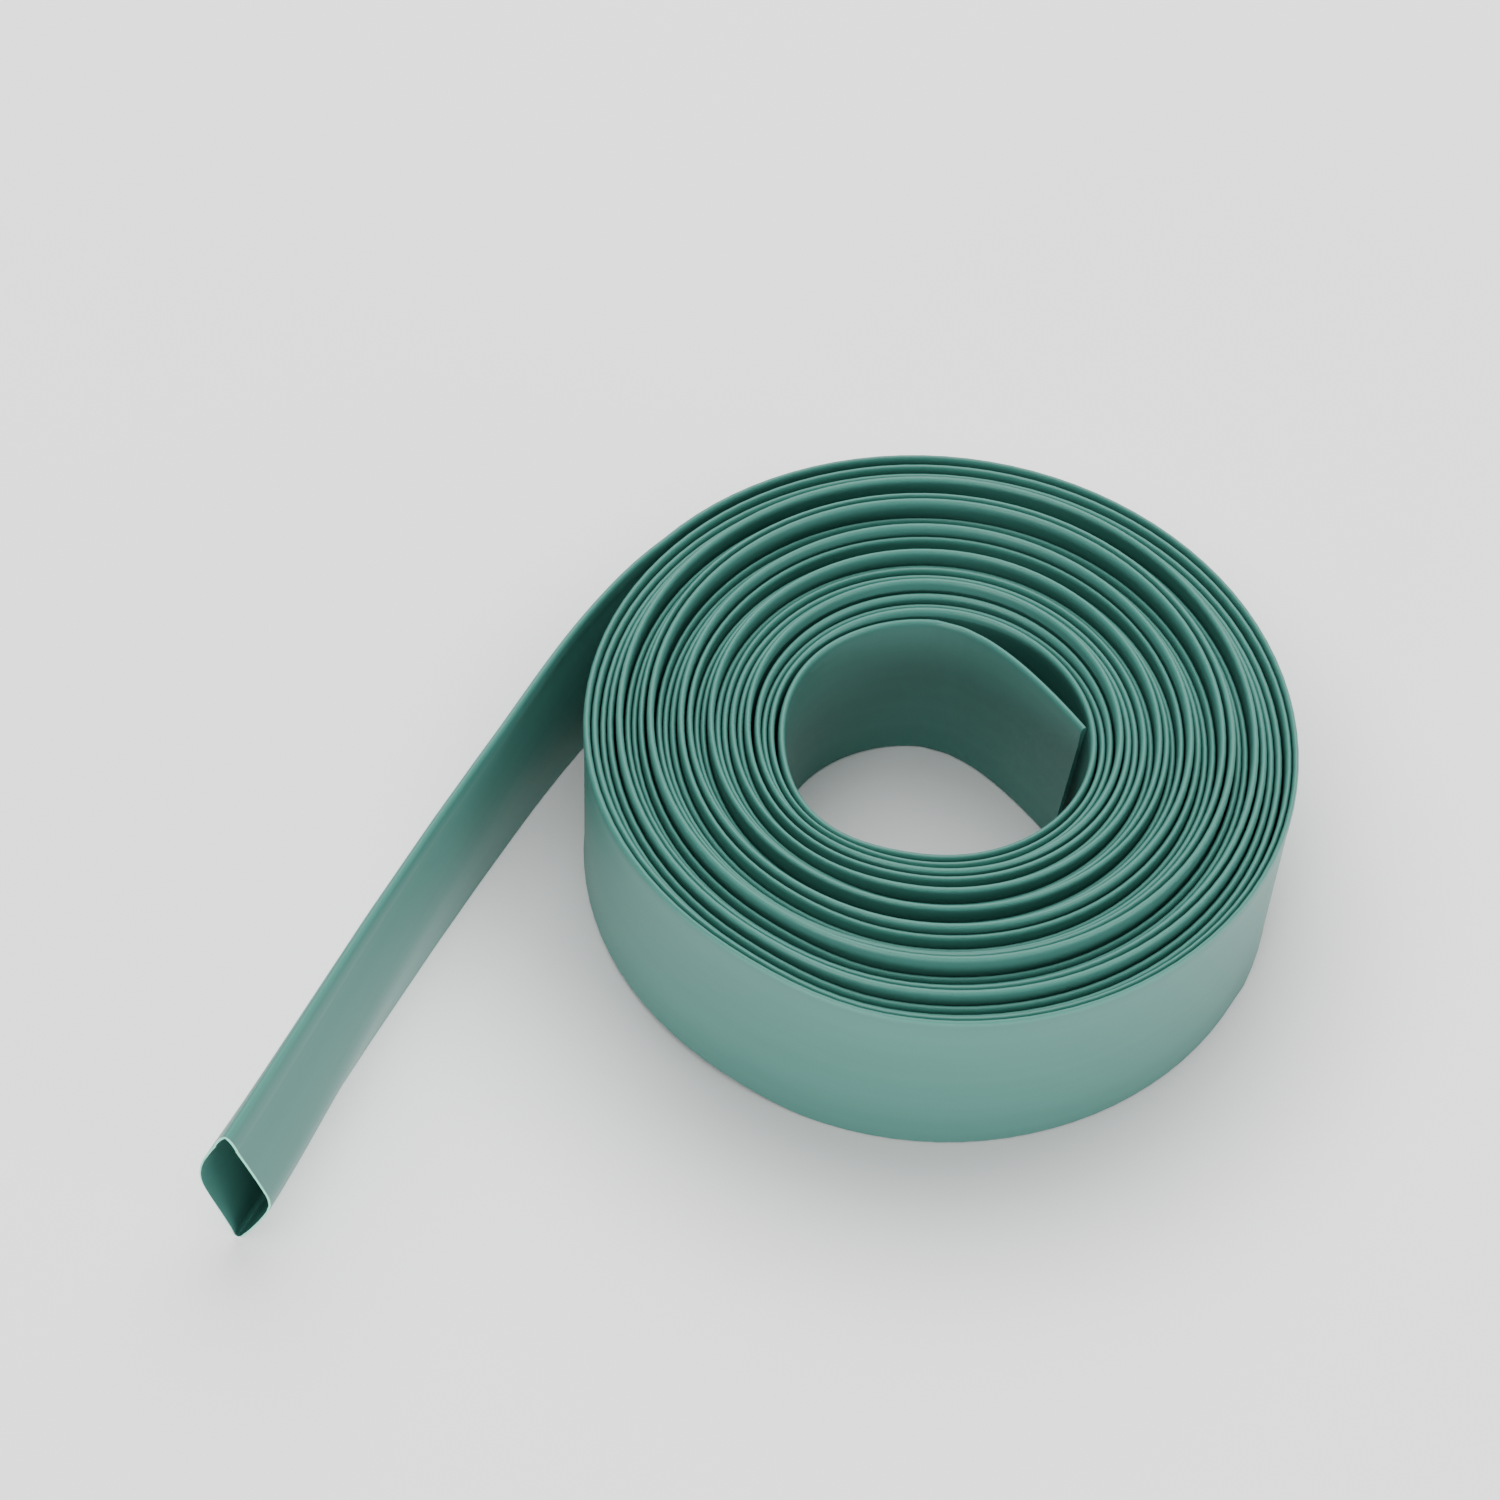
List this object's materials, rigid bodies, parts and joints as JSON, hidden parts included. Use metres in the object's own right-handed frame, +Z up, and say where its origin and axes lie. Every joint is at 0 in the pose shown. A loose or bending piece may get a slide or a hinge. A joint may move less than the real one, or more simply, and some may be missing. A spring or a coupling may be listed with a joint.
{
  "type": "lay-flat hose coil",
  "caption": "Coil of plain lay-flat tube wound on its folded edge, with a free tail that ends in an open diamond-shaped mouth.",
  "frame": {"origin": "on the resting plane at the coil's axis", "axes": "+Z up along the coil's axis; the free tail runs along -Y on the -X side of the coil, and the mouth faces -Y"},
  "size_m": [0.1433, 0.1989, 0.04],
  "materials": {
    "tube": "satin"
  },
  "bodies": {
    "coil": {"inner_turns": "tube", "middle_turns": "tube", "outer_turns": "tube", "last_turn": "tube"},
    "inner_end": {"inner_end": "tube"},
    "tail": {"tail": "tube"},
    "mouth_end": {"mouth_end": "tube"}
  },
  "joints": [
    {"name": "inner_end_flex", "type": "hinge", "parent": "coil", "child": "inner_end", "pos_m": [-0.0088, 0.0233, 0], "axis": [0, 0, -1], "range_deg": [0, 50], "stiffness_Nm_per_rad": 0.004},
    {"name": "tail_swing", "type": "hinge", "parent": "coil", "child": "tail", "pos_m": [-0.06396, 0.01656, 0], "axis": [0, 0, -1], "range_deg": [-8, 60], "stiffness_Nm_per_rad": 0.002},
    {"name": "tail_bend", "type": "hinge", "parent": "tail", "child": "mouth_end", "pos_m": [-0.0717, -0.06, 0], "axis": [0, 0, -1], "range_deg": [-45, 45], "stiffness_Nm_per_rad": 0.002}
  ]
}
